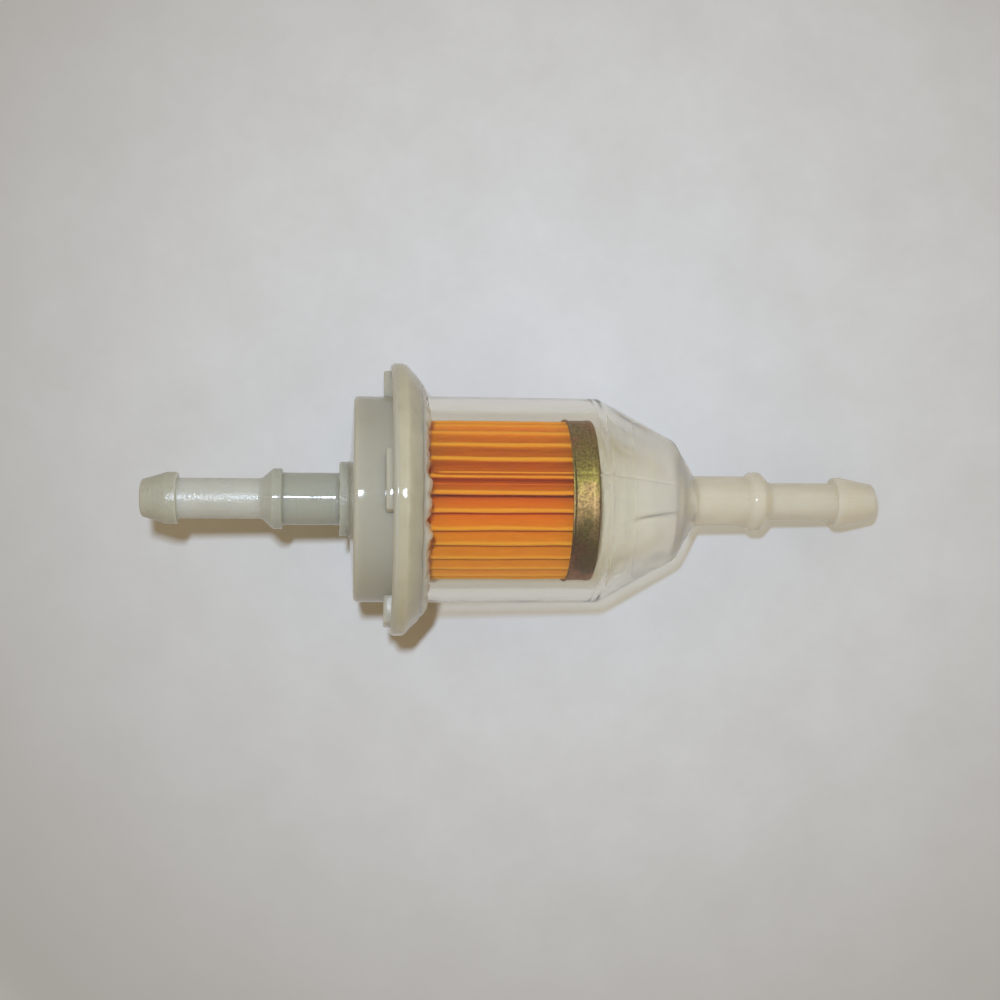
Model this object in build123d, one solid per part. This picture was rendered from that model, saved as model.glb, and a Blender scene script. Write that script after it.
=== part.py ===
"""Universal inline fuel filter for 6 mm and 8 mm hose.

Frame: +X runs along the filter's axis from the outlet nozzle's tip to the inlet nozzle's tip,
+Z is up, and the origin is on the axis, half way between the two tips. Millimetres.
"""
from build123d import *
from math import cos, pi, radians, sin
import os

# ---- Driving dimensions ----
OVERALL_LENGTH = 111.3
OUTLET_TIP_X = -OVERALL_LENGTH / 2
INLET_TIP_X = OVERALL_LENGTH / 2
PASSAGE_R = 1.75
WIDE_PASSAGE_R = 2.5
COLLAR_R = 4.53
BOWL_R = 15.5
WELD_R = 15.2
DRUM_R = 15.4
FLANGE_R = 20.38
PLEATS = 30
SHARP = 0.0
STRAIGHT = 1e-6

# ---- Outlet nozzle: radii, and stations along the axis ----
OUTLET_NOSE_R = 2.72
OUTLET_NOSE_ROUND = 0.6
OUTLET_BARB_R = 3.85
OUTLET_BARB_X = -51.85
OUTLET_BARB_STEP_X = -50.34
OUTLET_SMALL_STEM_R = 3.0
OUTLET_COLLAR_FOOT_X = -38.1
OUTLET_COLLAR_X = -36.4
OUTLET_COLLAR_STEP_X = -34.99
OUTLET_LARGE_STEM_R = 3.9
BOSS_R = 5.6
BOSS_X = -26.64
BARB_EDGE_ROUND = 0.15

# ---- Outlet cap ----
DRUM_FACE_X = -24.55
DRUM_FACE_BULGE = 0.6
DRUM_WALL = 2.0
DRUM_CORNER_ROUND = 0.7
FLANGE_FOOT_X = -18.3
FLANGE_RIM_X = -19.2
FLANGE_LIP_R = 20.0
FLANGE_EDGE_X = -17.0
SKIRT_SHOULDER_X = -15.9
SKIRT_SHOULDER_R = 19.1
SKIRT_TAPER_X = -15.0
SKIRT_TAPER_R = 18.2
SKIRT_END_X = -14.5
SKIRT_END_R = 16.6
SKIRT_ROUND = 0.6
LUG_COUNT = 4
LUG_WIDTH = 8.6
LUG_START_DEG = 81
LUG_FACE_X = -20.15
LUG_OUTER_R = 19.2
SPIGOT_R = 4.0
SPIGOT_END_X = -18.6

# ---- Bowl ----
BOWL_RIM_X = -17.7
BOWL_INNER_R = 13.5
SHOULDER_X = 11.9
SHOULDER_ROUND = 1.2
CONE_BEND_X = 23.76
CONE_BEND_R = 9.29
CONE_BEND_ROUND = 1.5
CONE_END_X = 27.2
CAVITY_CORNER_X = 11.6
CAVITY_CORNER_ROUND = 3.0
CAVITY_END_X = 22.4
CAVITY_END_R = 7.55
THROAT_X = 24.0
THROAT_R = 4.6
RIB_COUNT = 4
RIB_START_DEG = 105
RIB_WIDTH = 0.9
RIB_HEIGHT = 0.7
RIB_START_X = 14.2
RIB_ROOT = 0.8

# ---- Inlet nozzle ----
INLET_LARGE_STEM_R = 3.88
INLET_COLLAR_STEP_X = 35.25
INLET_COLLAR_X0 = 36.1
INLET_COLLAR_X1 = 37.5
INLET_COLLAR_FOOT_X = 39.05
INLET_SMALL_STEM_R = 2.92
INLET_BARB_STEP_X = 49.28
INLET_BARB_X = 50.5
INLET_BARB_R = 3.8
INLET_NOSE_R = 2.75
INLET_NOSE_ROUND = 0.75

# ---- Weld bead ----
BEAD_END_X = -13.8
BEAD_HEIGHT = 0.75
BEAD_LOBES = 31
BEAD_BITE = 0.22
BEAD_BITE_STEP = 2.3

# ---- Filter element ----
PAPER_THICKNESS = 0.4
MEDIA_R = 11.9
MEDIA_INNER_R = 6.6
PLEAT_LEAN_DEG = 1.6
PLEAT_DRIFT_DEG = 1.5
PLEAT_DRIFT_WAVES = 3
END_CAP_R = 12.2
END_CAP_SHEET = 0.25
END_CAP_ROUND = 0.7
CLOSED_CAP_LIP_X = 6.75
CLOSED_CAP_X = 10.8
OPEN_CAP_X = -21.4
OPEN_CAP_LIP_X = -17.4
NECK_R = 5.25
NECK_END_X = -19.0
ADHESIVE_THICKNESS = 0.6
ADHESIVE_R = 11.3
TUBE_R = 6.0
TUBE_SHEET = 0.4
TUBE_HOLE_R = 0.9
TUBE_HOLE_ROWS = 8
TUBE_HOLES_AROUND = 6
CLIP_LENGTH = 25.0
CLIP_SHEET = 0.25
CLIP_GAP = 0.05
CLIP_REACH = 0.25
CLIP_FOLD = 14
SEAL_FLANGE_R = 7.0
SEAL_END_X = -19.4

CLOSED_ADHESIVE_X = CLOSED_CAP_X - END_CAP_SHEET - ADHESIVE_THICKNESS
OPEN_ADHESIVE_X = OPEN_CAP_X + END_CAP_SHEET


def turned(*corners):
    """Turns an outline round the X axis. Each corner is (x, radius, rounding)."""
    points = [(x, r) for x, r, rounding in corners]
    roundings = [rounding for x, r, rounding in corners]
    section = make_face(FilletPolyline(*points, radius=roundings, close=True))
    return revolve(section, axis=Axis.X)


def spun(tool, count, offset_deg=0.0):
    """Copies of a shape, evenly spaced round the X axis."""
    return [Rot(offset_deg + 360 * i / count, 0, 0) * tool for i in range(count)]


def make_outlet_cap():
    """Nozzle, boss, drum, flange and welding skirt in one moulding, with its driving lugs."""
    drum_cavity_r = DRUM_R - DRUM_WALL
    body = turned(
        (OUTLET_TIP_X, PASSAGE_R, SHARP),
        (OUTLET_TIP_X, OUTLET_NOSE_R, OUTLET_NOSE_ROUND),
        (OUTLET_BARB_X, OUTLET_BARB_R, SHARP),
        (OUTLET_BARB_STEP_X, OUTLET_BARB_R, BARB_EDGE_ROUND),
        (OUTLET_BARB_STEP_X, OUTLET_SMALL_STEM_R, SHARP),
        (OUTLET_COLLAR_FOOT_X, OUTLET_SMALL_STEM_R, SHARP),
        (OUTLET_COLLAR_X, COLLAR_R, SHARP),
        (OUTLET_COLLAR_STEP_X, COLLAR_R, BARB_EDGE_ROUND),
        (OUTLET_COLLAR_STEP_X, OUTLET_LARGE_STEM_R, SHARP),
        (BOSS_X, OUTLET_LARGE_STEM_R, SHARP),
        (BOSS_X, BOSS_R, SHARP),
        (DRUM_FACE_X - DRUM_FACE_BULGE, BOSS_R, SHARP),
        (DRUM_FACE_X, DRUM_R, DRUM_CORNER_ROUND),
        (FLANGE_FOOT_X, DRUM_R, SHARP),
        (FLANGE_RIM_X, FLANGE_LIP_R, SHARP),
        (FLANGE_RIM_X + FLANGE_R - FLANGE_LIP_R, FLANGE_R, SHARP),
        (FLANGE_EDGE_X, FLANGE_R, SKIRT_ROUND),
        (SKIRT_SHOULDER_X, SKIRT_SHOULDER_R, SHARP),
        (SKIRT_TAPER_X, SKIRT_TAPER_R, SKIRT_ROUND),
        (SKIRT_END_X, SKIRT_END_R, SHARP),
        (SKIRT_END_X, WELD_R, SHARP),
        (BOWL_RIM_X, WELD_R, SHARP),
        (BOWL_RIM_X, drum_cavity_r, SHARP),
        (DRUM_FACE_X + DRUM_WALL, drum_cavity_r, SHARP),
        (DRUM_FACE_X + DRUM_WALL, SPIGOT_R, SHARP),
        (SPIGOT_END_X, SPIGOT_R, SHARP),
        (SPIGOT_END_X, WIDE_PASSAGE_R, SHARP),
        (BOSS_X, WIDE_PASSAGE_R, SHARP),
        (BOSS_X, PASSAGE_R, SHARP),
    )
    lug_root_r = DRUM_R - DRUM_CORNER_ROUND
    block = Pos(LUG_FACE_X, lug_root_r, 0) * Box(
        FLANGE_FOOT_X - LUG_FACE_X,
        LUG_OUTER_R - lug_root_r,
        LUG_WIDTH,
        align=(Align.MIN, Align.MIN, Align.CENTER),
    )
    lug_reach = turned(
        (LUG_FACE_X, 0, SHARP),
        (LUG_FACE_X, LUG_OUTER_R, SHARP),
        (FLANGE_FOOT_X, LUG_OUTER_R, SHARP),
        (FLANGE_FOOT_X, 0, SHARP),
    )
    return body + spun(block & lug_reach, LUG_COUNT, LUG_START_DEG)


def cavity_r(x):
    """Inner radius of the dome at a station on its conical cavity."""
    share = (x - CAVITY_CORNER_X) / (CAVITY_END_X - CAVITY_CORNER_X)
    return BOWL_INNER_R + share * (CAVITY_END_R - BOWL_INNER_R)


def make_bowl():
    """Clear cylinder, two-stage dome with standoff ribs inside, and the inlet nozzle."""
    body = turned(
        (BOWL_RIM_X, WELD_R, SHARP),
        (BEAD_END_X, WELD_R, SHARP),
        (BEAD_END_X, BOWL_R, SHARP),
        (SHOULDER_X, BOWL_R, SHOULDER_ROUND),
        (CONE_BEND_X, CONE_BEND_R, CONE_BEND_ROUND),
        (CONE_END_X, INLET_LARGE_STEM_R, SHARP),
        (INLET_COLLAR_STEP_X, INLET_LARGE_STEM_R, SHARP),
        (INLET_COLLAR_X0, COLLAR_R, SHARP),
        (INLET_COLLAR_X1, COLLAR_R, SHARP),
        (INLET_COLLAR_FOOT_X, INLET_SMALL_STEM_R, SHARP),
        (INLET_BARB_STEP_X, INLET_SMALL_STEM_R, SHARP),
        (INLET_BARB_STEP_X, INLET_BARB_R, BARB_EDGE_ROUND),
        (INLET_BARB_X, INLET_BARB_R, SHARP),
        (INLET_TIP_X, INLET_NOSE_R, INLET_NOSE_ROUND),
        (INLET_TIP_X, PASSAGE_R, SHARP),
        (CONE_END_X, PASSAGE_R, SHARP),
        (CONE_END_X, WIDE_PASSAGE_R, SHARP),
        (THROAT_X, WIDE_PASSAGE_R, SHARP),
        (THROAT_X, THROAT_R, SHARP),
        (CAVITY_END_X, CAVITY_END_R, SHARP),
        (CAVITY_CORNER_X, BOWL_INNER_R, CAVITY_CORNER_ROUND),
        (BOWL_RIM_X, BOWL_INNER_R, SHARP),
    )
    rib = Polyline(
        (RIB_START_X, cavity_r(RIB_START_X) + RIB_ROOT),
        (CAVITY_END_X, CAVITY_END_R + RIB_ROOT),
        (CAVITY_END_X, CAVITY_END_R - RIB_HEIGHT),
        (RIB_START_X, cavity_r(RIB_START_X) - RIB_HEIGHT),
        close=True,
    )
    rib = extrude(make_face(rib), amount=RIB_WIDTH / 2, dir=(0, 0, 1), both=True)
    return body + spun(rib, RIB_COUNT, RIB_START_DEG)


def make_weld_bead():
    """Ragged ring of flash that stands out of the joint between skirt and bowl."""
    edge_r = BOWL_R + BEAD_HEIGHT
    bead = turned(
        (SKIRT_END_X, WELD_R, SHARP),
        (SKIRT_END_X, edge_r, SHARP),
        (BEAD_END_X, BOWL_R + BEAD_HEIGHT / 2, SHARP),
        (BEAD_END_X, WELD_R, SHARP),
    )
    notches = []
    for i in range(BEAD_LOBES):
        bite = BEAD_BITE * (1 + sin(BEAD_BITE_STEP * i))
        notch_x = BEAD_END_X + BEAD_HEIGHT - bite
        notch = Pos(notch_x, edge_r, 0) * Sphere(BEAD_HEIGHT)
        notches.append(Rot(360 * i / BEAD_LOBES, 0, 0) * notch)
    return bead - notches


def fold_point(i):
    """Fold i of the paper's centre line in the YZ plane. Odd folds are the outer ridges."""
    even = 180 * i / PLEATS
    angle = even + PLEAT_DRIFT_DEG * sin(radians(PLEAT_DRIFT_WAVES * even))
    if i % 2:
        return polar(angle + PLEAT_LEAN_DEG, MEDIA_R)
    return polar(angle, MEDIA_INNER_R)


def polar(angle_deg, radius):
    """A point on the YZ plane, at an angle from +Y towards +Z."""
    return Vector(0, radius * cos(radians(angle_deg)), radius * sin(radians(angle_deg)))


def beside(points, distance):
    """A folded line, without its two ends, moved away from the axis or, if negative, towards it.

    The outside of a bend is squared off and the inside is mitred."""
    moved = []
    for before, here, after in zip(points, points[1:], points[2:]):
        side_in = (here - before).normalized().cross(Vector(1, 0, 0))
        side_out = (after - here).normalized().cross(Vector(1, 0, 0))
        turn = side_in.cross(side_out).X
        if turn * distance > STRAIGHT:
            moved += [here + side_in * distance, here + side_out * distance]
        else:
            mitre = (side_in + side_out).normalized()
            moved.append(here + mitre * (distance / mitre.dot(side_in)))
    return moved


def make_media():
    """Pleated paper of constant thickness, closed into a star round the axis."""
    folds = [fold_point(i) for i in range(-1, 2 * PLEATS + 1)]
    half = PAPER_THICKNESS / 2
    edges = [make_face(Polyline(*beside(folds, side), close=True)) for side in (half, -half)]
    edges.sort(key=lambda face: face.area)
    section = edges[1] - edges[0]
    length = CLOSED_ADHESIVE_X - OPEN_ADHESIVE_X - ADHESIVE_THICKNESS
    return Pos(OPEN_ADHESIVE_X + ADHESIVE_THICKNESS, 0, 0) * extrude(section, length, dir=(1, 0, 0))


def make_seam_clip():
    """Folded steel strip that pinches the paper's two ends together in an inner fold."""
    before, here, after = [fold_point(CLIP_FOLD + step) for step in (-1, 0, 1)]
    leg_in = (before - here) * CLIP_REACH
    leg_out = (after - here) * CLIP_REACH
    path = [here + 2 * leg_in, here + leg_in, here, here + leg_out, here + 2 * leg_out]
    near = PAPER_THICKNESS / 2 + CLIP_GAP
    paper_side = beside(path, -near)
    axis_side = beside(path, -near - CLIP_SHEET)
    section = make_face(Polyline(*paper_side, *reversed(axis_side), close=True))
    clip = extrude(section, CLIP_LENGTH, dir=(1, 0, 0))
    middle = (OPEN_ADHESIVE_X + CLOSED_ADHESIVE_X) / 2
    return Pos(middle - CLIP_LENGTH / 2, 0, 0) * clip


def make_closed_end_cap():
    """Pressed steel cup over the element's blind end."""
    inner_round = END_CAP_ROUND - END_CAP_SHEET
    return turned(
        (CLOSED_CAP_LIP_X, END_CAP_R, SHARP),
        (CLOSED_CAP_X, END_CAP_R, END_CAP_ROUND),
        (CLOSED_CAP_X, 0, SHARP),
        (CLOSED_CAP_X - END_CAP_SHEET, 0, SHARP),
        (CLOSED_CAP_X - END_CAP_SHEET, END_CAP_R - END_CAP_SHEET, inner_round),
        (CLOSED_CAP_LIP_X, END_CAP_R - END_CAP_SHEET, SHARP),
    )


def make_open_end_cap():
    """Pressed steel cup with a neck turned inward round the outlet."""
    inner_round = END_CAP_ROUND - END_CAP_SHEET
    return turned(
        (OPEN_CAP_LIP_X, END_CAP_R, SHARP),
        (OPEN_CAP_X, END_CAP_R, END_CAP_ROUND),
        (OPEN_CAP_X, NECK_R - END_CAP_SHEET, SHARP),
        (NECK_END_X, NECK_R - END_CAP_SHEET, SHARP),
        (NECK_END_X, NECK_R, SHARP),
        (OPEN_CAP_X + END_CAP_SHEET, NECK_R, SHARP),
        (OPEN_CAP_X + END_CAP_SHEET, END_CAP_R - END_CAP_SHEET, inner_round),
        (OPEN_CAP_LIP_X, END_CAP_R - END_CAP_SHEET, SHARP),
    )


def make_adhesive(x, hole_r):
    """Disc of potting compound between the paper's end and an end cap."""
    return turned(
        (x, ADHESIVE_R, SHARP),
        (x + ADHESIVE_THICKNESS, ADHESIVE_R, SHARP),
        (x + ADHESIVE_THICKNESS, hole_r, SHARP),
        (x, hole_r, SHARP),
    )


def make_centre_tube():
    """Perforated core that keeps the paper from collapsing inward."""
    tube = turned(
        (OPEN_ADHESIVE_X, TUBE_R, SHARP),
        (CLOSED_ADHESIVE_X, TUBE_R, SHARP),
        (CLOSED_ADHESIVE_X, TUBE_R - TUBE_SHEET, SHARP),
        (OPEN_ADHESIVE_X, TUBE_R - TUBE_SHEET, SHARP),
    )
    pitch = (CLOSED_ADHESIVE_X - OPEN_ADHESIVE_X) / (TUBE_HOLE_ROWS + 1)
    across = []
    for row in range(TUBE_HOLE_ROWS):
        drill = Pos(OPEN_ADHESIVE_X + (row + 1) * pitch, 0, 0) * Cylinder(TUBE_HOLE_R, 3 * TUBE_R)
        stagger = 180 / TUBE_HOLES_AROUND * (row % 2)
        across += spun(drill, TUBE_HOLES_AROUND, stagger)[: TUBE_HOLES_AROUND // 2]
    return tube - across


def make_outlet_seal():
    """Rubber sleeve with a flange, between the outlet cap's spigot and the element's neck."""
    face_x = DRUM_FACE_X + DRUM_WALL
    return turned(
        (face_x, SPIGOT_R, SHARP),
        (face_x, SEAL_FLANGE_R, SHARP),
        (OPEN_CAP_X, SEAL_FLANGE_R, SHARP),
        (OPEN_CAP_X, NECK_R - END_CAP_SHEET, SHARP),
        (SEAL_END_X, NECK_R - END_CAP_SHEET, SHARP),
        (SEAL_END_X, SPIGOT_R, SHARP),
    )


NODES = {
    "outlet_cap": make_outlet_cap(),
    "bowl": make_bowl(),
    "weld_bead": make_weld_bead(),
    "pleated_media": make_media(),
    "media_seam_clip": make_seam_clip(),
    "centre_tube": make_centre_tube(),
    "closed_end_cap": make_closed_end_cap(),
    "open_end_cap": make_open_end_cap(),
    "closed_end_adhesive": make_adhesive(CLOSED_ADHESIVE_X, 0),
    "open_end_adhesive": make_adhesive(OPEN_ADHESIVE_X, TUBE_R),
    "outlet_seal": make_outlet_seal(),
}

os.makedirs("parts", exist_ok=True)
for node, solid in NODES.items():
    export_step(solid, f"parts/{node}.step")
    print(f"{node:22s} {solid.volume:10.2f} mm3  solids {len(solid.solids())}")
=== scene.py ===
"""Looks of the inline fuel filter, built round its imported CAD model.

The frame is the CAD model's: +X runs along the axis from the outlet tip to the inlet tip, +Z is up.
Shapes are in millimetres and become metres in the mesh helpers. Materials, floor, light and camera
are in metres. Angles round the axis are in degrees from +Y towards +Z.
"""
import math
import random

import bmesh
import bpy
from mathutils import Matrix, Vector, noise


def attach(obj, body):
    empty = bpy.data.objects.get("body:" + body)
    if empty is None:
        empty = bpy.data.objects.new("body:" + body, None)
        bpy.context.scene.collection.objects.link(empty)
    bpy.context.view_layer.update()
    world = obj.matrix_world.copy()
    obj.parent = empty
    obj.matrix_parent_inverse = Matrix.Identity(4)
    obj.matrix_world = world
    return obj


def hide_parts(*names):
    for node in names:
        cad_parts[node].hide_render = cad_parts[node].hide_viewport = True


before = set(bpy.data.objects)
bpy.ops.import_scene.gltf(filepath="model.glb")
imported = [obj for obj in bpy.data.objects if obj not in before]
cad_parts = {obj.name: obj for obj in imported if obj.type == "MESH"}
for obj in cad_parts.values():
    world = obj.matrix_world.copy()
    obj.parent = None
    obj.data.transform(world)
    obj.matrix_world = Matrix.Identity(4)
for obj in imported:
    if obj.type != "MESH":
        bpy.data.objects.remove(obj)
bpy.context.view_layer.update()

MM = 0.001
TURN = 360.0
SMOOTH_BELOW = 38.0

# ---- Both nozzles ----
TIP_X = 55.65
PASSAGE_R = 1.75
WIDE_PASSAGE_R = 2.5
COLLAR_R = 4.53

# ---- Outlet cap ----
BOSS_X = -26.64
BOSS_R = 5.6
LARGE_STEM_R = 3.9
SMALL_STEM_R = 3.0
BARB_R = 3.85
DRUM_R = 15.4
DRUM_WALL = 2.0
DRUM_FACE_X = -24.55
SPIGOT_R = 4.0
SPIGOT_END_X = -18.6
FLANGE_FOOT_X = -18.3
FLANGE_RIM_X = -19.2
FLANGE_R = 20.38
CREST_FOOT_R = 17.5
CREST_FOOT_X = -18.6
SKIRT_END_X = -14.5
WELD_R = 15.2
LUG_ANGLES = (81, 171, 261, 351)
LUG_FACE_X = -20.15
LUG_BACK_X = -18.0
LUG_INNER_R = 14.9
LUG_OUTER_R = 19.2
LUG_WIDTH = 8.6
LUG_ROUND = 0.3
LUG_STEPS = 12

# ---- Bowl ----
BOWL_RIM_X = -17.7
BOWL_R = 15.5
BOWL_WELD_R = 15.15
BEAD_END_X = -13.8
BOWL_INNER_R = 13.5
SHOULDER_X = 11.9
CAVITY_CORNER_X = 11.6
CAVITY_END_X = 22.4
CAVITY_END_R = 7.55
THROAT_X = 24.0
THROAT_R = 4.6
CONE_END_X = 27.2
INLET_LARGE_STEM_R = 3.88
INLET_SMALL_STEM_R = 2.92
HAZY_FROM_X = 26.6
RIB_ANGLES = (105, 195, 285, 15)
RIB_WIDTH = 0.8
RIB_HEIGHT = 0.34
RIB_START_X = 14.2
RIB_EDGE_IN = 0.35
RIB_EDGE_OUT = 0.6
RIB_RAMP = 2.4
SEAM_ANGLES = (76, 256)
SEAM_WIDTH = 0.3
SEAM_HEIGHT = 0.07

# ---- Weld flash ----
FLASH_INNER_R = 15.3
FLASH_SWELL = 0.55
FLASH_NODULES = 0.16
FLASH_RISE = 0.3

# ---- Filter element ----
PLEATS = 30
MEDIA_R = 11.95
MEDIA_INNER_R = 6.6
PAPER_X0 = -20.55
PAPER_X1 = 9.95
PAPER_THICKNESS = 0.4
PAPER_STATIONS = 27
PLEAT_START = 85.0
PLEAT_LEAN = 7.0
PLEAT_BOW = -0.35
PLEAT_SWAY = 0.16
CREST_FOLD_R = 0.14
ROOT_FOLD_R = 0.3
FLANK_PARTS = 6
SHORTEST_FLANK = 1.2
END_CAP_R = 12.2
END_CAP_RIM_X = 6.75
END_CAP_FACE_X = 10.8
END_CAP_SHEET = 0.25


# ---------------------------------------------------------------- mesh helpers
def arc_corner(before, here, after, radius, step=12.0):
    """Points of a rounded corner between two straight edges of an outline, a step in degrees apart."""
    a = Vector(before) - Vector(here)
    b = Vector(after) - Vector(here)
    la, lb = a.length, b.length
    a.normalize()
    b.normalize()
    inside = a.angle(b)
    turn = math.pi - inside
    if radius <= 0 or turn < 0.02:
        return [tuple(here)]
    reach = min(radius * math.tan(turn / 2), 0.48 * la, 0.48 * lb)
    radius = reach / math.tan(turn / 2)
    centre = Vector(here) + (a + b).normalized() * (radius / math.sin(inside / 2))
    start = Vector(here) + a * reach - centre
    count = max(2, math.ceil(math.degrees(turn) / step))
    side = 1 if a.x * b.y - a.y * b.x < 0 else -1
    points = []
    for i in range(count + 1):
        t = side * turn * i / count
        c, s = math.cos(t), math.sin(t)
        points.append((centre.x + c * start.x - s * start.y, centre.y + s * start.x + c * start.y))
    return points


def outline(corners, pitch):
    """A closed outline of (x, r) points from corners (x, r, rounding), no two further apart than pitch."""
    n = len(corners)
    points = []
    for i, (x, r, rounding) in enumerate(corners):
        before = corners[i - 1][:2]
        after = corners[(i + 1) % n][:2]
        points += arc_corner(before, (x, r), after, rounding)
    split = []
    for i, p in enumerate(points):
        q = points[(i + 1) % len(points)]
        parts = max(1, math.ceil(math.dist(p, q) / pitch))
        for k in range(parts):
            split.append((p[0] + (q[0] - p[0]) * k / parts, p[1] + (q[1] - p[1]) * k / parts))
    return split


def mesh_piece(name, verts, faces, materials, sharp=SMOOTH_BELOW):
    """A piece from vertices in mm, with outward normals and edges sharper than the limit kept sharp."""
    mesh = bpy.data.meshes.new(name)
    mesh.from_pydata([(x * MM, y * MM, z * MM) for x, y, z in verts], [], faces)
    bm = bmesh.new()
    bm.from_mesh(mesh)
    bmesh.ops.recalc_face_normals(bm, faces=bm.faces)
    bm.to_mesh(mesh)
    bm.free()
    mesh.shade_smooth()
    mesh.set_sharp_from_angle(angle=math.radians(sharp))
    for material in materials:
        mesh.materials.append(material)
    piece = bpy.data.objects.new(name, mesh)
    bpy.context.scene.collection.objects.link(piece)
    return piece


def lathe(name, loop, angles, materials, shift=None, sharp=SMOOTH_BELOW):
    """A closed mesh turned round X. shift(index, x, r, degrees) gives a point its own (x, r)."""
    n, m = len(loop), len(angles)
    verts = []
    for a in angles:
        c, s = math.cos(math.radians(a)), math.sin(math.radians(a))
        for i, (x, r) in enumerate(loop):
            if shift:
                x, r = shift(i, x, r, a)
            verts.append((x, r * c, r * s))
    faces = []
    for j in range(m):
        k = (j + 1) % m
        for i in range(n):
            h = (i + 1) % n
            faces.append((j * n + i, j * n + h, k * n + h, k * n + i))
    return mesh_piece(name, verts, faces, materials, sharp)


def even_angles(count):
    return [TURN * i / count for i in range(count)]


def near_angle(a, centre):
    """Degrees between two angles, the short way round."""
    return abs((a - centre + TURN / 2) % TURN - TURN / 2)


def refined_angles(angles, centres, offsets, gap):
    """The angles, with extra ones at the offsets beside each centre and none closer to those than gap."""
    extra = [(c + o) % TURN for c in centres for o in offsets]
    kept = [a for a in angles if all(near_angle(a, e) > gap for e in extra)]
    return sorted(kept + extra)


def smooth(low, high, value):
    t = min(1.0, max(0.0, (value - low) / (high - low)))
    return t * t * (3 - 2 * t)


def join_solid(piece, tool):
    """Adds the tool to the piece by an exact boolean, and removes the tool."""
    modifier = piece.modifiers.new("join", "BOOLEAN")
    modifier.operation = "UNION"
    modifier.solver = "EXACT"
    modifier.object = tool
    bpy.context.view_layer.update()
    evaluated = piece.evaluated_get(bpy.context.evaluated_depsgraph_get())
    mesh = bpy.data.meshes.new_from_object(evaluated)
    piece.modifiers.clear()
    old = piece.data
    piece.data = mesh
    bpy.data.meshes.remove(old)
    bpy.data.objects.remove(tool)
    mesh.shade_smooth()
    mesh.set_sharp_from_angle(angle=math.radians(SMOOTH_BELOW))


# ---------------------------------------------------------------- material helpers
class Nodes:
    """Short-hand for building a material's node tree."""

    def __init__(self, name):
        self.material = bpy.data.materials.new(name)
        self.material.use_nodes = True
        self.tree = self.material.node_tree
        self.tree.nodes.clear()
        self.out = self.add("ShaderNodeOutputMaterial")

    def add(self, kind, **settings):
        node = self.tree.nodes.new(kind)
        for key, value in settings.items():
            setattr(node, key, value)
        return node

    def link(self, a, b):
        self.tree.links.new(a, b)

    def position(self):
        return self.add("ShaderNodeTexCoord").outputs["Object"]

    def split(self, vector):
        """The x, y and z of a vector."""
        node = self.add("ShaderNodeSeparateXYZ")
        self.link(vector, node.inputs[0])
        return tuple(node.outputs)

    def scaled(self, vector, scale):
        node = self.add("ShaderNodeMapping")
        node.inputs["Scale"].default_value = scale
        self.link(vector, node.inputs["Vector"])
        return node.outputs[0]

    def noise(self, scale, detail, roughness, vector, distortion=0.0):
        node = self.add("ShaderNodeTexNoise")
        node.inputs["Scale"].default_value = scale
        node.inputs["Detail"].default_value = detail
        node.inputs["Roughness"].default_value = roughness
        node.inputs["Distortion"].default_value = distortion
        self.link(vector, node.inputs["Vector"])
        return node.outputs["Fac"]

    def ramp(self, fac, stops):
        node = self.add("ShaderNodeValToRGB")
        elements = node.color_ramp.elements
        while len(elements) < len(stops):
            elements.new(0.5)
        for element, (place, colour) in zip(elements, stops):
            element.position = place
            element.color = (*colour, 1.0)
        self.link(fac, node.inputs["Fac"])
        return node.outputs["Color"]

    def span(self, value, low, high, to_low=0.0, to_high=1.0, smooth_step=True):
        node = self.add("ShaderNodeMapRange")
        node.interpolation_type = "SMOOTHSTEP" if smooth_step else "LINEAR"
        limits = {"From Min": low, "From Max": high, "To Min": to_low, "To Max": to_high}
        for key, number in limits.items():
            node.inputs[key].default_value = number
        self.link(value, node.inputs["Value"])
        return node.outputs["Result"]

    def math(self, operation, a, b=0.0):
        node = self.add("ShaderNodeMath", operation=operation)
        for socket, value in zip(node.inputs, (a, b)):
            if isinstance(value, (int, float)):
                socket.default_value = value
            else:
                self.link(value, socket)
        return node.outputs[0]

    def mix(self, fac, a, b):
        node = self.add("ShaderNodeMix", data_type="RGBA")
        for socket, value in zip((node.inputs[0], node.inputs[6], node.inputs[7]), (fac, a, b)):
            if isinstance(value, (int, float)):
                socket.default_value = value
            elif isinstance(value, tuple):
                socket.default_value = (*value, 1.0)
            else:
                self.link(value, socket)
        return node.outputs[2]

    def bump(self, height, strength, distance):
        node = self.add("ShaderNodeBump")
        node.inputs["Strength"].default_value = strength
        node.inputs["Distance"].default_value = distance
        self.link(height, node.inputs["Height"])
        return node.outputs["Normal"]

    def principled(self, **values):
        node = self.add("ShaderNodeBsdfPrincipled")
        for key, value in values.items():
            node.inputs[key.replace("_", " ")].default_value = value
        return node

    def finish(self, shader):
        self.link(shader, self.out.inputs["Surface"])
        return self.material


def linear(value):
    """One linear channel from a 0-255 display value, by the sRGB curve."""
    v = value / 255
    return ((v + 0.055) / 1.055) ** 2.4 if v > 0.0404 else v / 12.92


def srgb(r, g, b):
    return tuple(linear(v) for v in (r, g, b))


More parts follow.
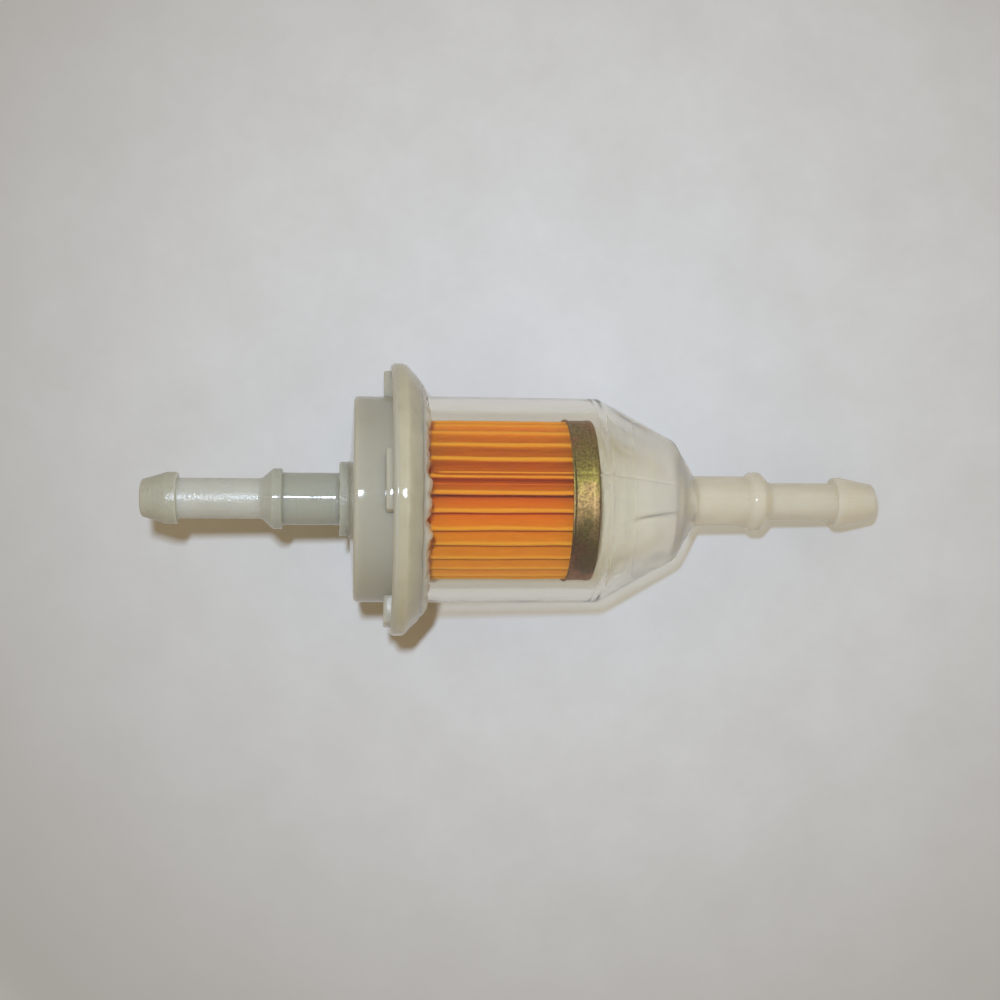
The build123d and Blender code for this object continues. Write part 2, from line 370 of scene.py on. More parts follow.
# ---------------------------------------------------------------- materials
def milky_plastic():
    """Natural translucent nylon: rougher on the nozzle's stem, glossy on the drum and flange."""
    n = Nodes("milky_nylon")
    where = n.position()
    x = n.split(where)[0]
    cloud = n.noise(180, 4, 0.6, where)
    past_collar = n.span(x, -0.0392, -0.0360)
    past_flange_face = n.span(x, -0.0188, -0.0180)
    past_boss = n.span(x, -0.0262, -0.0250)

    flange_tone = n.ramp(cloud, [(0.3, srgb(184, 178, 154)), (0.7, srgb(196, 190, 166))])
    tone = n.ramp(cloud, [(0.3, srgb(196, 195, 183)), (0.7, srgb(203, 202, 191))])
    tone = n.mix(n.span(x, -0.0502, -0.0506), tone, srgb(180, 178, 162))
    tone = n.mix(past_collar, tone, srgb(174, 175, 162))
    drum = n.math("MULTIPLY", past_boss, n.math("SUBTRACT", 1.0, past_flange_face))
    tone = n.mix(drum, tone, srgb(180, 176, 160))
    tone = n.mix(past_flange_face, tone, flange_tone)
    tone = n.mix(n.span(x, -0.0153, -0.0145), tone, srgb(212, 204, 182))

    gloss = n.span(x, -0.0392, -0.0372, 0.22, 0.07)
    gloss = n.math("MULTIPLY", gloss, n.math("SUBTRACT", 1.0, n.math("MULTIPLY", past_boss, 0.3)))
    smears = n.span(n.noise(700, 3, 0.6, where), 0.3, 0.7, -0.03, 0.03)
    gloss = n.math("ADD", gloss, smears)

    grain = n.math("MULTIPLY", n.noise(3400, 2, 0.6, where), n.span(x, -0.0392, -0.0372, 1.8, 0.12))
    on_boss = n.math("MULTIPLY", n.span(x, -0.0272, -0.0268), n.span(x, -0.0256, -0.0252, 1, 0))
    torn = n.math("MULTIPLY", n.noise(1300, 4, 0.7, where), n.math("MULTIPLY", on_boss, 4.0))
    ring_noise = n.noise(2600, 2, 0.5, n.scaled(where, (1.0, 0.06, 0.06)))
    rings = n.math("MULTIPLY", ring_noise, n.span(x, -0.0262, -0.0250, 1, 0))
    crest = n.math("MULTIPLY", n.noise(900, 4, 0.7, where), n.span(x, -0.0182, -0.0172, 0.0, 1.6))
    relief = n.math("ADD", n.math("ADD", n.math("ADD", grain, torn), rings), crest)

    shader = n.principled(IOR=1.53, Subsurface_Weight=1.0, Subsurface_Scale=0.004)
    shader.inputs["Subsurface Radius"].default_value = (1.0, 0.92, 0.75)
    n.link(tone, shader.inputs["Base Color"])
    n.link(gloss, shader.inputs["Roughness"])
    n.link(n.bump(relief, 0.6, 0.00007), shader.inputs["Normal"])
    return n.finish(shader.outputs[0])


def lamp_through(n, shader, straight, grazing):
    """Lets lamp and room light reach what is inside: tinted, and more so where it grazes the wall."""
    facing = n.add("ShaderNodeLayerWeight")
    facing.inputs["Blend"].default_value = 0.45
    edge_on = n.math("POWER", facing.outputs["Facing"], 3.0)
    through = n.add("ShaderNodeBsdfTransparent")
    n.link(n.mix(edge_on, straight, grazing), through.inputs["Color"])
    path = n.add("ShaderNodeLightPath")
    surface = shader.outputs[0]
    for ray in ("Is Diffuse Ray", "Is Shadow Ray"):
        mixed = n.add("ShaderNodeMixShader")
        n.link(path.outputs[ray], mixed.inputs[0])
        n.link(surface, mixed.inputs[1])
        n.link(through.outputs[0], mixed.inputs[2])
        surface = mixed.outputs[0]
    return n.finish(surface)


def clear_plastic():
    """Clear transparent nylon, faintly warm: water-clear on the cylinder, cloudier towards the nozzle."""
    n = Nodes("clear_nylon")
    where = n.position()
    clearness = n.span(n.split(where)[0], 0.0100, 0.0240, 1.0, 0.70)
    shader = n.principled(Roughness=0.03, IOR=1.53, Subsurface_Weight=1.0, Subsurface_Scale=0.003)
    shader.inputs["Subsurface Radius"].default_value = (1.0, 0.92, 0.72)
    shader.inputs["Base Color"].default_value = (*srgb(253, 250, 240), 1)
    n.link(clearness, shader.inputs["Transmission Weight"])
    n.link(n.bump(n.noise(120, 2, 0.5, where), 0.06, 0.0006), shader.inputs["Normal"])
    return lamp_through(n, shader, (0.99, 0.975, 0.935), (0.64, 0.54, 0.39))


def hazy_plastic():
    """The bowl's plastic where it is thick: cloudy and creamy in the inlet nozzle."""
    n = Nodes("hazy_nylon")
    where = n.position()
    cloud = n.noise(300, 3, 0.6, where)
    tone = n.ramp(cloud, [(0.3, srgb(226, 220, 203)), (0.7, srgb(233, 227, 212))])
    shader = n.principled(Roughness=0.07, IOR=1.53, Transmission_Weight=0.3)
    shader.inputs["Subsurface Weight"].default_value = 1.0
    shader.inputs["Subsurface Scale"].default_value = 0.004
    shader.inputs["Subsurface Radius"].default_value = (1.0, 0.92, 0.72)
    n.link(tone, shader.inputs["Base Color"])
    n.link(n.bump(n.noise(500, 3, 0.6, where), 0.08, 0.0002), shader.inputs["Normal"])
    return lamp_through(n, shader, (0.80, 0.76, 0.68), (0.68, 0.61, 0.50))


def paper():
    """Resin-treated filter paper: fibrous and amber with random red blotches, and painted light: a reddish
    reflection along the top, shade towards -Y and highlights on the crests.
    """
    n = Nodes("filter_paper")
    where = n.position()
    y, z = n.split(where)[1:]
    radius = n.math("SQRT", n.math("ADD", n.math("POWER", y, 2.0), n.math("POWER", z, 2.0)))
    crest = n.span(radius, 0.0115, 0.0119)
    along = n.scaled(where, (0.25, 1.0, 1.0))
    fibre = n.noise(1500, 5, 0.65, along)
    blotch = n.noise(160, 3, 0.6, along)

    base = n.ramp(fibre, [(0.3, srgb(230, 134, 1)), (0.7, srgb(244, 152, 3))])
    # Painted reflection: a reddish band along the top of the element, plus random red blotches.
    painted_reflection_band = n.math("MULTIPLY", n.span(y, -0.0052, -0.0015), n.span(y, 0.0022, 0.0058, 1, 0))
    painted_reflection_band = n.math("MULTIPLY", painted_reflection_band, n.span(z, 0.004, 0.009))
    reflection_and_blotch = n.math("ADD", n.math("MULTIPLY", painted_reflection_band, 0.45), n.span(blotch, 0.5, 0.8, 0, 0.3))
    base = n.mix(reflection_and_blotch, base, srgb(255, 126, 8))
    # Painted shade: the paper is painted darker towards its -Y side, away from the lamp.
    base = n.mix(n.span(y, -0.0075, -0.0035, 0.35, 0.0), base, srgb(196, 122, 0))
    # Painted highlight: the outermost crests are painted lighter.
    base = n.mix(n.math("MULTIPLY", crest, 0.4), base, srgb(252, 190, 60))

    shader = n.principled(Roughness=0.8, IOR=1.35, Specular_IOR_Level=0.25)
    shader.inputs["Subsurface Weight"].default_value = 0.4
    shader.inputs["Subsurface Scale"].default_value = 0.0007
    shader.inputs["Subsurface Radius"].default_value = (1.0, 0.6, 0.2)
    n.link(base, shader.inputs["Base Color"])
    n.link(n.bump(fibre, 0.5, 0.0003), shader.inputs["Normal"])
    return n.finish(shader.outputs[0])


def yellow_zinc():
    """Yellow-passivated zinc on pressed steel: olive gold with random pink and green passivation colours,
    and painted reflection and highlight in bands across the cap, darkest towards its -Y side.
    """
    n = Nodes("yellow_zinc")
    where = n.position()
    cloud = n.noise(170, 3, 0.6, where, 0.4)
    # Painted reflection and highlight: the colour runs in bands across the cap from -Y to +Y, shifted by
    # random passivation colour from the cloud.
    across = n.span(n.split(where)[1], -0.0122, 0.0122, smooth_step=False)
    reflection_and_bloom = n.math("ADD", across, n.span(cloud, 0.2, 0.8, -0.16, 0.16))
    tone = n.ramp(
        reflection_and_bloom,
        [
            (0.02, srgb(184, 116, 92)),
            (0.16, srgb(100, 64, 48)),
            (0.30, srgb(96, 86, 46)),
            (0.46, srgb(140, 112, 78)),
            (0.60, srgb(134, 124, 58)),
            (0.78, srgb(150, 130, 74)),
            (0.92, srgb(172, 120, 84)),
        ],
    )
    grain = n.noise(2800, 4, 0.75, where)
    tone = n.mix(n.span(grain, 0.40, 0.60, 0, 0.75), tone, srgb(70, 56, 34))
    shader = n.principled(Metallic=1.0)
    n.link(tone, shader.inputs["Base Color"])
    n.link(n.span(grain, 0.3, 0.7, 0.40, 0.60), shader.inputs["Roughness"])
    n.link(n.bump(grain, 0.5, 0.00012), shader.inputs["Normal"])
    return n.finish(shader.outputs[0])


def bright_steel():
    """Plain rolled steel, scratched along the axis."""
    n = Nodes("bright_steel")
    grain = n.noise(1800, 4, 0.7, n.scaled(n.position(), (0.15, 1.0, 1.0)))
    tone = n.ramp(grain, [(0.3, srgb(150, 148, 142)), (0.7, srgb(196, 194, 188))])
    shader = n.principled(Metallic=1.0)
    n.link(tone, shader.inputs["Base Color"])
    n.link(n.span(grain, 0.3, 0.7, 0.26, 0.42), shader.inputs["Roughness"])
    return n.finish(shader.outputs[0])


def potting():
    """Tan plastisol, a little lumpy."""
    n = Nodes("potting_compound")
    where = n.position()
    tone = n.ramp(n.noise(500, 4, 0.6, where), [(0.3, srgb(150, 118, 74)), (0.7, srgb(182, 150, 98))])
    shader = n.principled(Roughness=0.5, IOR=1.5)
    n.link(tone, shader.inputs["Base Color"])
    n.link(n.bump(n.noise(700, 3, 0.6, where), 0.3, 0.0003), shader.inputs["Normal"])
    return n.finish(shader.outputs[0])


def seal_rubber():
    """Black fuel-proof rubber with a fine moulded texture."""
    n = Nodes("seal_rubber")
    where = n.position()
    tone = n.ramp(n.noise(900, 4, 0.6, where), [(0.3, srgb(30, 30, 30)), (0.7, srgb(44, 44, 43))])
    shader = n.principled(Roughness=0.6, IOR=1.5)
    n.link(tone, shader.inputs["Base Color"])
    n.link(n.bump(n.noise(1600, 3, 0.6, where), 0.2, 0.0001), shader.inputs["Normal"])
    return n.finish(shader.outputs[0])


MILKY = milky_plastic()
CLEAR = clear_plastic()
HAZY = hazy_plastic()
PAPER = paper()
ZINC = yellow_zinc()
STEEL = bright_steel()
POTTING = potting()
RUBBER = seal_rubber()


# ---------------------------------------------------------------- outlet cap
def cap_outline():
    """The cap's closed section: the nozzle and drum outside from the tip, then the bores back to it."""
    drum_cavity_r = DRUM_R - DRUM_WALL
    drum_back_x = DRUM_FACE_X + DRUM_WALL
    nozzle = [
        (-TIP_X, PASSAGE_R, 0.3),
        (-TIP_X, 2.72, 0.7),
        (-51.85, BARB_R, 0.5),
        (-50.34, BARB_R, 0.2),
        (-50.34, SMALL_STEM_R, 0.25),
        (-38.1, SMALL_STEM_R, 1.2),
        (-36.4, COLLAR_R, 0.6),
        (-34.99, COLLAR_R, 0.35),
        (-34.99, LARGE_STEM_R, 0.3),
        (BOSS_X, LARGE_STEM_R, 0.2),
        (BOSS_X, BOSS_R, 0.3),
    ]
    drum = [
        (DRUM_FACE_X - 0.6, BOSS_R, 0.3),
        (DRUM_FACE_X, DRUM_R, 0.7),
        (FLANGE_FOOT_X, DRUM_R, 0.25),
        (FLANGE_RIM_X, 19.9, 0.2),
        (FLANGE_RIM_X + 0.5, FLANGE_R, 0.5),
        (-17.1, FLANGE_R, 0.9),
        (-15.9, 19.1, 0.6),
        (-15.0, 18.2, 0.8),
        (SKIRT_END_X, 16.6, 0.2),
    ]
    bores = [
        (SKIRT_END_X, WELD_R, 0.0),
        (BOWL_RIM_X, WELD_R, 0.0),
        (BOWL_RIM_X, drum_cavity_r, 0.2),
        (drum_back_x, drum_cavity_r, 0.8),
        (drum_back_x, SPIGOT_R, 0.3),
        (SPIGOT_END_X, SPIGOT_R, 0.2),
        (SPIGOT_END_X, WIDE_PASSAGE_R, 0.2),
        (BOSS_X, WIDE_PASSAGE_R, 0.2),
        (BOSS_X, PASSAGE_R, 0.2),
    ]
    return outline(nozzle + drum + bores, pitch=1.2)


def ring_point(x, a, reach):
    """A place in noise space for the angle round the axis, so the noise closes on itself."""
    return Vector((x, math.cos(math.radians(a)) * reach, math.sin(math.radians(a)) * reach))


def make_cap():
    def ragged(i, x, r, a):
        """Flash on the flange's crest and front slope, and a boss left rough by its gate."""
        if r > CREST_FOOT_R and x > CREST_FOOT_X:
            where = ring_point(x * 0.6, a, 7)
            r += 0.14 * noise.noise(where) + 0.06 * noise.noise(where * 4.1)
            x += 0.1 * noise.noise(where * 2.3 + Vector((9, 0, 0)))
        if 4.2 < r < BOSS_R + 0.1 and BOSS_X - 0.26 < x < DRUM_FACE_X - 0.45:
            where = ring_point(x * 2.0, a, 4)
            r += 0.18 * (noise.noise(where) - 0.25)
            x += 0.12 * (noise.noise(where + Vector((5, 3, 1))) - 0.1)
        return x, min(r, FLANGE_R)

    cap = lathe("cap", cap_outline(), even_angles(216), [MILKY], ragged)
    for i, angle in enumerate(LUG_ANGLES):
        join_solid(cap, make_lug(f"lug_{i}", angle))
    return cap


def make_lug(name, angle):
    """One driving lug: a wide rounded block from the drum to the flange's rim, curved outside."""
    half = LUG_WIDTH / 2
    bm = bmesh.new()
    rows = []
    for k in range(LUG_STEPS + 1):
        z = half * (2 * k / LUG_STEPS - 1)
        inner = math.sqrt(LUG_INNER_R**2 - z * z)
        outer = math.sqrt(LUG_OUTER_R**2 - z * z)
        corners = ((LUG_FACE_X, inner), (LUG_BACK_X, inner), (LUG_BACK_X, outer), (LUG_FACE_X, outer))
        rows.append([bm.verts.new((x * MM, y * MM, z * MM)) for x, y in corners])
    for low, high in zip(rows, rows[1:]):
        for i in range(4):
            bm.faces.new((low[i], low[(i + 1) % 4], high[(i + 1) % 4], high[i]))
    for row in (rows[0], rows[-1]):
        bm.faces.new(row)
    bmesh.ops.recalc_face_normals(bm, faces=bm.faces)
    rounded = [(a[3], b[3]) for a, b in zip(rows, rows[1:])]
    for row in (rows[0], rows[-1]):
        rounded += [(row[0], row[3]), (row[2], row[3])]
    edges = [bm.edges.get(pair) for pair in rounded]
    bmesh.ops.bevel(bm, geom=edges, offset=LUG_ROUND * MM, segments=3, profile=0.5, affect="EDGES")
    turn = math.radians(angle)
    for v in bm.verts:
        y, z = v.co.y, v.co.z
        v.co.y = y * math.cos(turn) - z * math.sin(turn)
        v.co.z = y * math.sin(turn) + z * math.cos(turn)
    mesh = bpy.data.meshes.new(name)
    bm.to_mesh(mesh)
    bm.free()
    mesh.materials.append(MILKY)
    lug = bpy.data.objects.new(name, mesh)
    bpy.context.scene.collection.objects.link(lug)
    return lug


# ---------------------------------------------------------------- bowl
def bowl_outline():
    """The bowl's closed section: outside from the rim to the inlet's tip, then inside back to the rim."""
    outside = [
        (BOWL_RIM_X, BOWL_WELD_R, 0.1),
        (BEAD_END_X, BOWL_WELD_R, 0.0),
        (BEAD_END_X, BOWL_R, 0.05),
        (SHOULDER_X, BOWL_R, 1.2),
        (23.76, 9.29, 1.5),
        (CONE_END_X, INLET_LARGE_STEM_R, 0.6),
        (35.25, INLET_LARGE_STEM_R, 0.35),
        (36.1, COLLAR_R, 0.5),
        (37.5, COLLAR_R, 0.7),
        (39.05, INLET_SMALL_STEM_R, 0.9),
        (49.28, INLET_SMALL_STEM_R, 0.35),
        (49.28, 3.8, 0.3),
        (50.5, 3.8, 0.8),
        (TIP_X, 2.75, 0.85),
    ]
    inside = [
        (TIP_X, PASSAGE_R, 0.3),
        (CONE_END_X, PASSAGE_R, 0.2),
        (CONE_END_X, WIDE_PASSAGE_R, 0.2),
        (THROAT_X, WIDE_PASSAGE_R, 0.2),
        (THROAT_X, THROAT_R, 0.3),
        (CAVITY_END_X, CAVITY_END_R, 0.3),
        (CAVITY_CORNER_X, BOWL_INNER_R, 3.0),
        (BOWL_RIM_X, BOWL_INNER_R, 0.2),
    ]
    return outline(outside + inside, pitch=0.7)


def bowl_angles():
    """Even angles, refined beside the ribs and, more closely, beside the parting lines."""
    rib_arcs = (-1.15, -0.9, -0.7, -0.5, -0.3, 0.0, 0.3, 0.5, 0.7, 0.9, 1.15)
    rib_offsets = [math.degrees(arc / 11.0) for arc in rib_arcs]
    seam_arcs = (-0.24, -0.15, -0.07, 0.0, 0.07, 0.15, 0.24)
    seam_offsets = [math.degrees(arc / 14.0) for arc in seam_arcs]
    angles = refined_angles(even_angles(180), RIB_ANGLES, rib_offsets, gap=0.9)
    return refined_angles(angles, SEAM_ANGLES, seam_offsets, gap=0.8)


def make_bowl():
    loop = bowl_outline()
    tip = max(range(len(loop)), key=lambda i: (round(loop[i][0], 3), -loop[i][1]))

    def arc_from(a, centres, r):
        """Millimetres round the axis, at radius r, to the nearest centre."""
        return min(near_angle(a, c) for c in centres) * math.radians(1) * r

    def shaped(i, x, r, a):
        """A fine parting line outside, and four standoff ribs on the cone inside."""
        if i <= tip and x > BEAD_END_X + 0.1:
            off = arc_from(a, SEAM_ANGLES, r)
            over = 1 - smooth(0.25 * SEAM_WIDTH, 0.75 * SEAM_WIDTH, off)
            r += SEAM_HEIGHT * over * smooth(-12.9, -12.2, x)
        if i > tip and r > 5.0 and x > RIB_START_X - 0.4:
            off = arc_from(a, RIB_ANGLES, max(r, 8.5))
            over = 1 - smooth(0.5 * RIB_WIDTH - RIB_EDGE_IN, 0.5 * RIB_WIDTH + RIB_EDGE_OUT, off)
            r -= RIB_HEIGHT * over * smooth(RIB_START_X - 0.35, RIB_START_X + RIB_RAMP, x)
        return x, r

    bowl = lathe("bowl_clear", loop, bowl_angles(), [CLEAR, HAZY], shaped)
    for face in bowl.data.polygons:
        if face.center.x > HAZY_FROM_X * MM:
            face.material_index = 1
    return bowl


# ---------------------------------------------------------------- weld flash
def make_flash():
    """Ragged squeeze-out that shows over the paper at the skirt's end."""
    rng = random.Random(7)
    corners = [
        (-15.0, FLASH_INNER_R, 0),
        (-15.3, 17.6, 0),
        (-15.1, 18.1, 0.1),
        (-14.3, 17.35, 0.5),
        (-13.9, 16.4, 0.5),
        (-13.8, 15.55, 0.2),
        (-14.1, FLASH_INNER_R, 0),
    ]
    phases = [rng.uniform(0, 100) for _ in range(3)]

    def lobes(i, x, r, a):
        where = ring_point(phases[0], a, 8)
        swell = noise.noise(where) + 0.6 * noise.noise(where * 2.7 + Vector((phases[1], 0, 0)))
        reach = smooth(-14.8, -13.9, x)
        x += reach * (FLASH_SWELL * (swell - 0.15) + FLASH_NODULES * noise.noise(where * 5.3))
        if r > 15.6:
            r += FLASH_RISE * reach * noise.noise(where * 1.7 + Vector((phases[2], x, 0)))
        return x, max(FLASH_INNER_R, r)

    loop = outline(corners, pitch=0.2)
    return lathe("weld_flash_ring", loop, even_angles(260), [MILKY], lobes, sharp=60)


# ---------------------------------------------------------------- pleated paper
def half_round(centre_r, fold_r, angle, count, outward):
    """A fold's half circle across the axis's section, on the radius at the angle."""
    a = math.radians(angle)
    along = Vector((math.cos(a), math.sin(a)))
    across = Vector((-math.sin(a), math.cos(a)))
    points = []
    for k in range(count):
        t = math.pi * (k / (count - 1)) - math.pi / 2
        points.append(along * (centre_r + outward * fold_r * math.cos(t)) + across * (fold_r * math.sin(t)))
    return points


def fold_points():
    """The folds' points in order round the axis: a crest, then a root leaning back from it."""
    rng = random.Random(11)
    pitch = TURN / PLEATS
    drift = [rng.uniform(-0.8, 0.8) for _ in range(PLEATS)]
    depth = [rng.uniform(-0.12, -0.01) for _ in range(PLEATS)]
    root_r = MEDIA_INNER_R + PAPER_THICKNESS / 2 + ROOT_FOLD_R
    points = []
    for i in range(PLEATS):
        crest_angle = PLEAT_START + i * pitch + drift[i]
        between = 0.5 * (drift[i] + drift[(i + 1) % PLEATS])
        root_angle = PLEAT_START + (i + 0.5) * pitch - PLEAT_LEAN + between
        crest_r = MEDIA_R - PAPER_THICKNESS / 2 - CREST_FOLD_R + depth[i]
        points += half_round(crest_r, CREST_FOLD_R, crest_angle, 7, 1)
        points += half_round(root_r, ROOT_FOLD_R, root_angle, 5, -1)
    return points


def bowed_flanks(points):
    """The same line with its long flanks split and slightly bowed."""
    full = []
    for j, p in enumerate(points):
        q = points[(j + 1) % len(points)]
        full.append(p)
        if (p - q).length <= SHORTEST_FLANK:
            continue
        for k in range(1, FLANK_PARTS):
            m = p.lerp(q, k / FLANK_PARTS)
            bow = math.sin(math.pi * k / FLANK_PARTS) * PLEAT_BOW
            full.append(m + Vector((-m.y, m.x)).normalized() * bow)
    return full


def swayed(p, x):
    """A section point moved a little round the axis near its crest, by a slow wave along the pleat."""
    r = p.length
    wave = noise.noise(Vector((x * 0.11, p.x * 0.9, p.y * 0.9)))
    free = smooth(PAPER_X0, PAPER_X0 + 3, x) * (1 - smooth(PAPER_X1 - 5, PAPER_X1 - 3.6, x))
    tangent = Vector((-p.y, p.x)) / max(r, 0.1)
    p = p + tangent * (PLEAT_SWAY * smooth(8.5, 11.8, r) * wave * free)
    if p.length > MEDIA_R:
        p = p * (MEDIA_R / p.length)
    return p


def make_paper():
    """Pleats as one closed sheet folded round the axis, with rounded folds and a slight lean."""
    line = bowed_flanks(fold_points())
    count = len(line)
    normals = []
    for j in range(count):
        d = (line[(j + 1) % count] - line[j - 1]).normalized()
        normals.append(Vector((d.y, -d.x)))
    spans = PAPER_STATIONS - 1
    verts = []
    for s in range(PAPER_STATIONS):
        x = PAPER_X0 + (PAPER_X1 - PAPER_X0) * s / spans
        for side in (1, -1):
            for j in range(count):
                p = swayed(line[j] + normals[j] * (side * PAPER_THICKNESS / 2), x)
                verts.append((x, p.x, p.y))
    row = 2 * count
    faces = []
    for s in range(spans):
        for layer in (0, 1):
            a = s * row + layer * count
            b = a + row
            for j in range(count):
                k = (j + 1) % count
                faces.append((a + j, a + k, b + k, b + j))
    for a in (0, spans * row):
        for j in range(count):
            k = (j + 1) % count
            faces.append((a + j, a + k, a + count + k, a + count + j))
    return mesh_piece("pleated_paper", verts, faces, [PAPER], sharp=60)


# ---------------------------------------------------------------- end cap
def make_end_cap():
    """Pressed cup with a rounded corner, a rolled lip and a faint draw mark round its wall."""
    sheet = END_CAP_SHEET
    x0, x1 = END_CAP_RIM_X, END_CAP_FACE_X
    corners = [
        (x0, END_CAP_R + 0.12, 0.06),
        (x0 + 0.22, END_CAP_R + 0.14, 0.1),
        (x0 + 0.5, END_CAP_R - 0.08, 0.25),
        (x1 - 1.15, END_CAP_R - 0.08, 0.3),
        (x1 - 0.85, END_CAP_R, 0.2),
        (x1, END_CAP_R, 0.7),
        (x1, 3.0, 0.3),
        (x1 - 0.12, 2.6, 0.2),
        (x1 - 0.12, 0.0, 0),
        (x1 - sheet - 0.12, 0.0, 0),
        (x1 - sheet - 0.12, 2.6, 0.2),
        (x1 - sheet, 3.0, 0.2),
        (x1 - sheet, END_CAP_R - sheet - 0.08, 0.5),
        (x0 + 0.5, END_CAP_R - sheet - 0.08, 0.2),
        (x0, END_CAP_R - sheet + 0.12, 0.06),
    ]
    loop = [(x, max(r, 0.02)) for x, r in outline(corners, pitch=0.7)]
    return lathe("closed_cap_zinc", loop, even_angles(144), [ZINC])


# ---------------------------------------------------------------- assembly
def stand_in(piece, node):
    """Puts a finished piece in its CAD node's place."""
    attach(piece, "root")
    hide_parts(node)


stand_in(make_cap(), "outlet_cap")
stand_in(make_bowl(), "bowl")
stand_in(make_flash(), "weld_bead")
stand_in(make_paper(), "pleated_media")
stand_in(make_end_cap(), "closed_end_cap")

KEPT = {
    "open_end_cap": ZINC,
    "centre_tube": STEEL,
    "media_seam_clip": STEEL,
    "closed_end_adhesive": POTTING,
    "open_end_adhesive": POTTING,
    "outlet_seal": RUBBER,
}
for node, material in KEPT.items():
    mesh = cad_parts[node].data
    mesh.materials.clear()
    mesh.materials.append(material)


# ---------------------------------------------------------------- floor, light, camera
FLOOR_LOW = Vector((-16.94, 0, -20.38)) * MM
FLOOR_SLOPE = math.radians(10.0)
FLOOR_HALF_SIZE = 0.6
# Centre of the painted pool of light on the table, in the table's own coordinates.
FLOOR_PAINTED_LIGHT_SPOT = (0.032, 0.022, 0)
WORLD_TONE = (0.62, 0.60, 0.565)
ROOM_LIGHT = (0.37, 0.29, 0.178)
KEY_PLACE = Vector((-0.0383, 0.0257, 0.224))
KEY_SIZE = (0.014, 0.007)
KEY_WATTS = 0.40
KEY_TONE = (0.69, 0.82, 1.0)
CAMERA_TARGET = Vector((-2.49, 0, 0)) * MM
CAMERA_TILT = math.radians(6.2)
CAMERA_DISTANCE = 0.2103
CAMERA_ROLL = math.radians(0.37)
LIGHT_BOUNCES = 24


def floor_material():
    """Pale matt table top with painted shade, a little darker away from a painted bright spot, that fades
    into the room at its edge.
    """
    n = Nodes("table_top")
    where = n.position()
    tone = n.ramp(n.noise(70, 4, 0.6, where), [(0.3, (0.695, 0.688, 0.672)), (0.7, (0.745, 0.744, 0.738))])
    specks = n.span(n.noise(420, 4, 0.7, where), 0.35, 0.65, 0, 0.06)
    tone = n.mix(specks, tone, (0.55, 0.55, 0.54))
    from_painted_light_spot = n.add("ShaderNodeVectorMath", operation="DISTANCE")
    n.link(where, from_painted_light_spot.inputs[0])
    from_painted_light_spot.inputs[1].default_value = FLOOR_PAINTED_LIGHT_SPOT
    distance = from_painted_light_spot.outputs["Value"]
    # Painted shade: the table is painted darker with distance from the painted bright spot.
    tone = n.mix(n.span(distance, 0.05, 0.16), tone, (0.56, 0.555, 0.55))
    tone = n.mix(n.span(distance, 0.14, 0.17), tone, (0.92, 0.90, 0.87))
    shader = n.principled(Roughness=0.45, IOR=1.4)
    n.link(tone, shader.inputs["Base Color"])
    clear = n.add("ShaderNodeBsdfTransparent")
    behind = n.add("ShaderNodeNewGeometry").outputs["Backfacing"]
    hidden = n.math("MAXIMUM", n.span(distance, 0.135, 0.185), behind)
    shown = n.add("ShaderNodeMixShader")
    n.link(hidden, shown.inputs[0])
    n.link(shader.outputs[0], shown.inputs[1])
    n.link(clear.outputs[0], shown.inputs[2])
    return n.finish(shown.outputs[0])


def make_floor():
    mesh = bpy.data.meshes.new("table")
    bm = bmesh.new()
    bmesh.ops.create_grid(bm, x_segments=2, y_segments=2, size=FLOOR_HALF_SIZE)
    bm.to_mesh(mesh)
    bm.free()
    floor = bpy.data.objects.new("table", mesh)
    bpy.context.scene.collection.objects.link(floor)
    floor.location = FLOOR_LOW
    floor.rotation_euler = (0, -FLOOR_SLOPE, 0)
    mesh.materials.append(floor_material())


def make_key_lamp():
    """A small cool lamp up and left of the camera."""
    light = bpy.data.lights.new("key", "AREA")
    light.shape = "RECTANGLE"
    light.size, light.size_y = KEY_SIZE
    light.energy = KEY_WATTS
    light.color = KEY_TONE
    lamp = bpy.data.objects.new("key", light)
    bpy.context.scene.collection.objects.link(lamp)
    lamp.location = KEY_PLACE
    lamp.rotation_euler = (-KEY_PLACE).to_track_quat("-Z", "Y").to_euler()


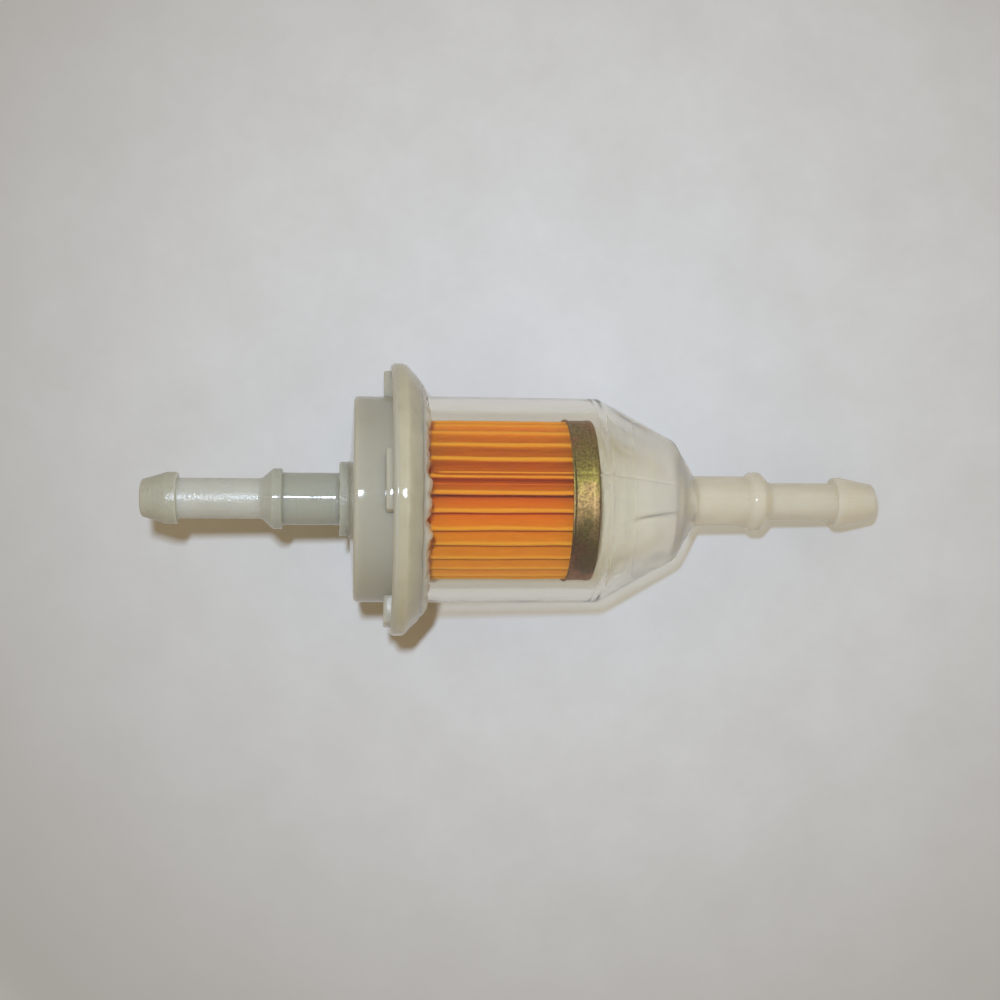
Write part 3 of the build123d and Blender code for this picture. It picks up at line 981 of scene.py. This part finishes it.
def make_room():
    """An even warm room, which is paler where it is seen directly or through the clear plastic."""
    world = bpy.data.worlds.new("room")
    bpy.context.scene.world = world
    world.use_nodes = True
    tree = world.node_tree

    def math_node(operation, a, b):
        node = tree.nodes.new("ShaderNodeMath")
        node.operation = operation
        for socket, value in zip(node.inputs, (a, b)):
            if isinstance(value, float):
                socket.default_value = value
            else:
                tree.links.new(value, socket)
        return node.outputs[0]

    path = tree.nodes.new("ShaderNodeLightPath").outputs
    not_bounced = math_node("LESS_THAN", path["Diffuse Depth"], 0.5)
    through_clear = math_node("MULTIPLY", path["Is Transmission Ray"], not_bounced)
    seen = math_node("MAXIMUM", path["Is Camera Ray"], through_clear)
    tone = tree.nodes.new("ShaderNodeMix")
    tone.data_type = "RGBA"
    tree.links.new(seen, tone.inputs[0])
    tone.inputs[6].default_value = (*ROOM_LIGHT, 1)
    tone.inputs[7].default_value = (*WORLD_TONE, 1)
    background = tree.nodes["Background"]
    background.inputs["Strength"].default_value = 1.0
    tree.links.new(tone.outputs[2], background.inputs["Color"])


def make_camera():
    """A camera over the part, leaning towards the outlet and rolled a little."""
    camera = bpy.data.cameras.new("camera")
    camera.lens = 50
    camera.clip_start = 0.005
    holder = bpy.data.objects.new("camera", camera)
    bpy.context.scene.collection.objects.link(holder)
    back = Vector((-math.sin(CAMERA_TILT), 0, math.cos(CAMERA_TILT)))
    up = Vector((0, 1, 0))
    right = up.cross(back)
    holder.location = CAMERA_TARGET + back * CAMERA_DISTANCE
    holder.rotation_euler = Matrix((right, up, back)).transposed().to_euler()
    holder.rotation_euler.rotate_axis("Z", CAMERA_ROLL)
    bpy.context.scene.camera = holder


def set_rendering():
    """Plain colours, and enough bounces for the layers of clear plastic."""
    scene = bpy.context.scene
    scene.view_settings.view_transform = "Standard"
    scene.cycles.max_bounces = LIGHT_BOUNCES
    scene.cycles.transmission_bounces = LIGHT_BOUNCES
    scene.cycles.glossy_bounces = LIGHT_BOUNCES
    scene.cycles.transparent_max_bounces = LIGHT_BOUNCES
    scene.cycles.caustics_reflective = False
    scene.cycles.caustics_refractive = False


make_floor()
make_key_lamp()
make_room()
make_camera()
set_rendering()
